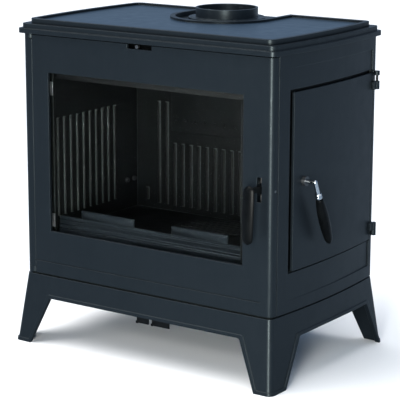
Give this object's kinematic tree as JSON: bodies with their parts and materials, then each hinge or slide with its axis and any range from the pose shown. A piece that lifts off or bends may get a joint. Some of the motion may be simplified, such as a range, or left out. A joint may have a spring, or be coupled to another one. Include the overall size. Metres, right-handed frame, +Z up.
{
  "type": "wood burning stove",
  "caption": "Free-standing cast iron wood stove with a glazed front door, a side loading door, splayed legs, a hob top and a round top flue collar.",
  "frame": {"origin": "on the floor, under the middle of the whole stove with its handles", "axes": "+X to the right along the front, +Y towards the back, +Z up; the glazed door faces -Y"},
  "size_m": [0.7799, 0.5255, 0.805],
  "materials": {
    "cast_iron_paint": "matt heat-proof anthracite paint on fine cast grain",
    "firebox_iron": "matt sooted iron",
    "steel": "brushed, slightly dulled",
    "ceramic_glass": "clear ceramic glass with a faint smoke tint",
    "rope_seal": "braided glass-fibre rope, graphite grey",
    "black_iron": "satin black",
    "chrome": "polished"
  },
  "bodies": {
    "stove": {"base_casting": "cast_iron_paint", "bottom_plate": "firebox_iron", "left_side_panel": "cast_iron_paint", "right_side_panel": "cast_iron_paint", "back_panel": "cast_iron_paint", "back_panel_bolts": "steel", "front_frame": "firebox_iron", "top_frame": "cast_iron_paint", "hob_plate": "cast_iron_paint", "flue_collar": "cast_iron_paint", "flue_collar_screws": "steel", "tie_rods": "steel", "left_liner": "firebox_iron", "right_liner": "firebox_iron", "back_liner": "firebox_iron", "liner_bolts": "steel", "secondary_air_panel": "firebox_iron", "side_throat": "firebox_iron", "side_door_frame": "firebox_iron", "baffle_plate": "firebox_iron", "airwash_deflector": "firebox_iron", "latch_side_cover": "firebox_iron", "hearth_plate": "firebox_iron", "hearth_supports": "firebox_iron", "grate": "firebox_iron", "ash_pan": "steel", "log_guard": "firebox_iron", "log_guard_plates": "firebox_iron", "air_inlet_box": "black_iron", "front_hinge_lugs": "cast_iron_paint", "front_hinge_pins": "steel", "latch_keeper": "steel", "side_hinge_lugs": "cast_iron_paint", "side_hinge_pins": "steel"},
    "front_door": {"front_door": "cast_iron_paint", "front_door_glass": "ceramic_glass", "glass_gasket": "rope_seal", "door_gasket": "rope_seal", "glass_clips": "steel", "clip_screws": "steel", "front_handle_pin": "steel"},
    "front_handle": {"front_handle_lever": "black_iron", "front_handle_grip": "black_iron"},
    "side_door": {"side_door": "cast_iron_paint", "side_door_inner_plate": "firebox_iron", "side_door_spacers": "steel", "side_door_gasket": "rope_seal", "side_door_knuckles": "cast_iron_paint", "side_handle_boss": "chrome"},
    "side_handle": {"side_handle_spindle": "chrome", "side_handle_ferrule": "chrome", "side_handle_grip": "black_iron", "side_latch_tongue": "steel"},
    "air_wash": {"air_wash_slide": "black_iron", "air_wash_knob": "chrome"},
    "primary_air_left": {"primary_air_pull_left": "black_iron"},
    "primary_air_right": {"primary_air_pull_right": "black_iron"}
  },
  "joints": [
    {"name": "front_door_hinge", "type": "hinge", "parent": "stove", "child": "front_door", "pos_m": [-0.352, -0.20325, 0.463], "axis": [0, 0, -1], "range_deg": [0, 110]},
    {"name": "front_handle_lift", "type": "hinge", "parent": "front_door", "child": "front_handle", "pos_m": [0.303, -0.20425, 0.456], "axis": [-1, 0, 0], "range_deg": [0, 30]},
    {"name": "side_door_hinge", "type": "hinge", "parent": "stove", "child": "side_door", "pos_m": [0.3446, 0.22325, 0.466], "axis": [0, 0, 1], "range_deg": [0, 110]},
    {"name": "side_handle_turn", "type": "hinge", "parent": "side_door", "child": "side_handle", "pos_m": [0.376, -0.10275, 0.464], "axis": [1, 0, 0], "range_deg": [0, 90]},
    {"name": "air_wash_slide", "type": "slide", "parent": "stove", "child": "air_wash", "axis": [1, 0, 0], "range_m": [-0.018, 0.03]},
    {"name": "primary_air_left_pull", "type": "slide", "parent": "stove", "child": "primary_air_left", "axis": [0, -1, 0], "range_m": [0, 0.03]},
    {"name": "primary_air_right_pull", "type": "slide", "parent": "stove", "child": "primary_air_right", "axis": [0, -1, 0], "range_m": [0, 0.03]}
  ]
}
